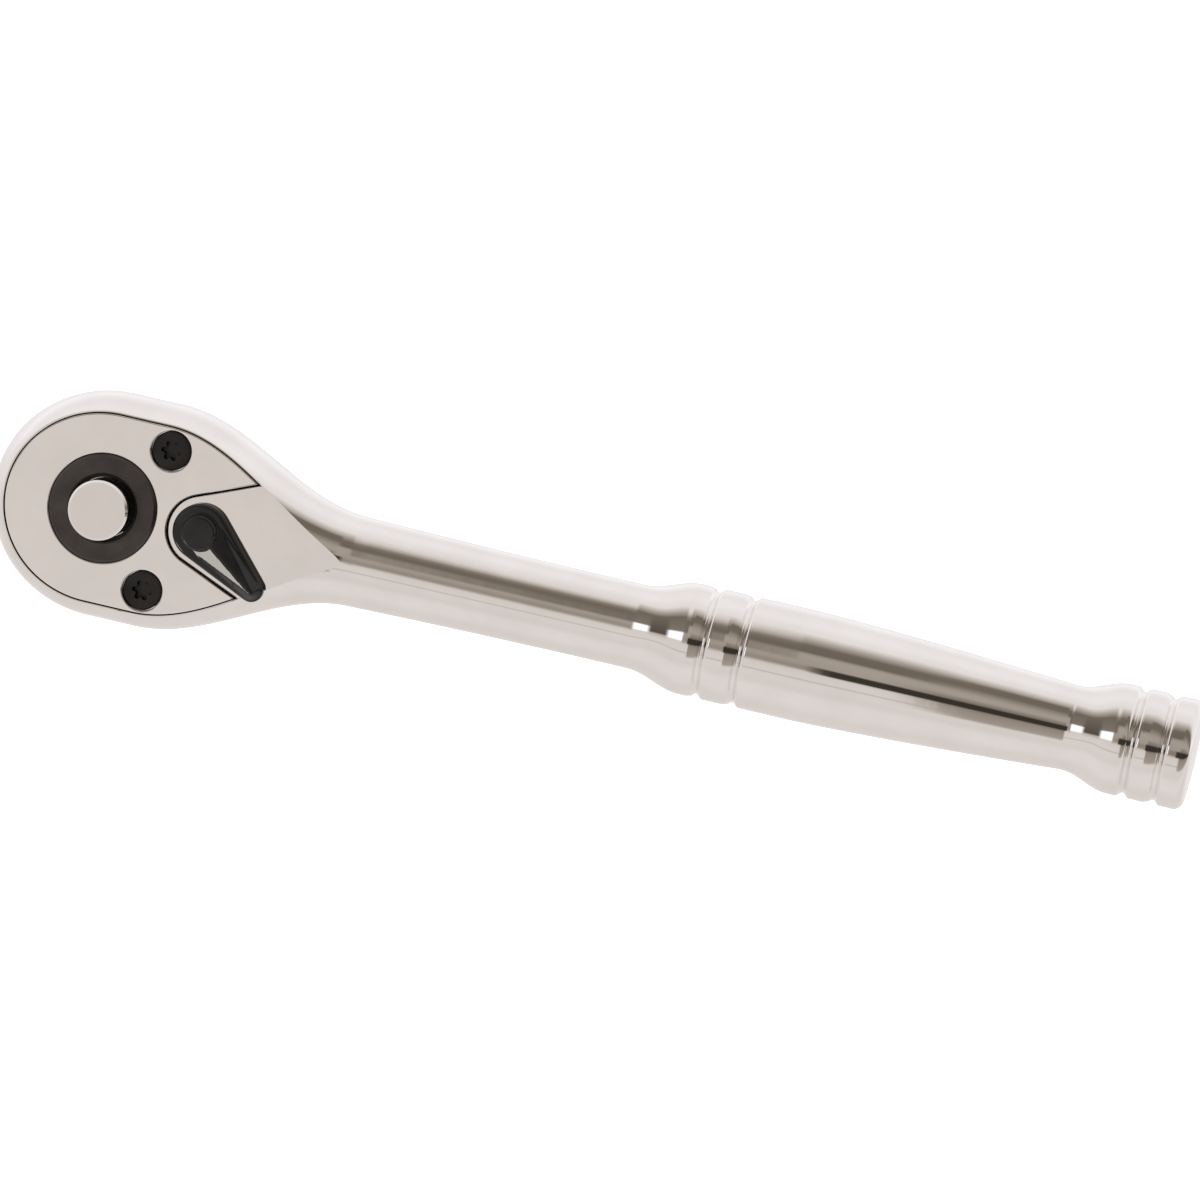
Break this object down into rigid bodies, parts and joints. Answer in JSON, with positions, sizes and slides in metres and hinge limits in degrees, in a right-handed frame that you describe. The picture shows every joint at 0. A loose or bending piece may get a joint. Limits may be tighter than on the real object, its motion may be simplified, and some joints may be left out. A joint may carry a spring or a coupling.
{
  "type": "ratchet wrench",
  "caption": "Reversible ratchet wrench with a pear-shaped chromed head, square drive, push-button socket release, thumb lever and contoured round handle.",
  "frame": {"origin": "drive axis at the seat plane, where a socket's end face rests on the shoulder of the square drive", "axes": "+X along the handle from the drive to its end, +Z along the drive axis toward the release button, +Y completes the right-handed frame"},
  "size_m": [0.1999, 0.037, 0.031],
  "materials": {
    "chrome_body": "polished",
    "chrome_button": "polished",
    "dark_gear_steel": "satin",
    "black_screw": "satin",
    "black_lever": "gloss",
    "plain_steel": "satin",
    "bright_ball": "polished",
    "seal_rubber": "matte"
  },
  "bodies": {
    "head": {"handle_body": "chrome_body", "cover_plate": "chrome_body", "cover_screw_front": "black_screw", "cover_screw_rear": "black_screw", "thrust_washer": "plain_steel", "pawl_pin": "plain_steel"},
    "drive": {"drive_gear": "dark_gear_steel", "drive_o_ring": "seal_rubber", "button_ring": "plain_steel", "release_spring": "plain_steel"},
    "button": {"release_button": "chrome_button", "release_pin": "plain_steel"},
    "ball": {"detent_ball": "bright_ball"},
    "pawl": {"pawl": "dark_gear_steel"},
    "selector": {"reverse_lever": "black_lever", "selector_shaft": "plain_steel", "shaft_o_ring": "seal_rubber", "shaft_clip": "plain_steel", "plunger_spring": "plain_steel"},
    "plunger": {"selector_plunger": "plain_steel"}
  },
  "joints": [
    {"name": "drive_spin", "type": "hinge", "parent": "head", "child": "drive", "pos_m": [0, 0, 0], "axis": [0, 0, 1], "continuous": true},
    {"name": "button_press", "type": "slide", "parent": "drive", "child": "button", "axis": [0, 0, -1], "range_m": [0, 0.003], "stiffness_N_per_m": 900, "springref_m": -0.002, "deforming": ["release_spring"]},
    {"name": "ball_retract", "type": "slide", "parent": "drive", "child": "ball", "axis": [-1, 0, 0], "range_m": [0, 0.00075]},
    {"name": "lever_turn", "type": "hinge", "parent": "head", "child": "selector", "pos_m": [0.0167, 0, 0], "axis": [0, 0, 1], "range_deg": [0, 72]},
    {"name": "pawl_rock", "type": "hinge", "parent": "head", "child": "pawl", "pos_m": [0.01215, 0, 0], "axis": [0, 0, 1], "range_deg": [-14, 0]},
    {"name": "plunger_spring_in", "type": "slide", "parent": "selector", "child": "plunger", "axis": [0.809, -0.5878, 0], "range_m": [0, 0.0004], "stiffness_N_per_m": 400, "springref_m": -0.0005}
  ],
  "couplings": [
    {"joint": "ball_retract", "follows": "button_press", "ratio": 0.25},
    {"joint": "pawl_rock", "follows": "lever_turn", "ratio": -0.19444}
  ]
}
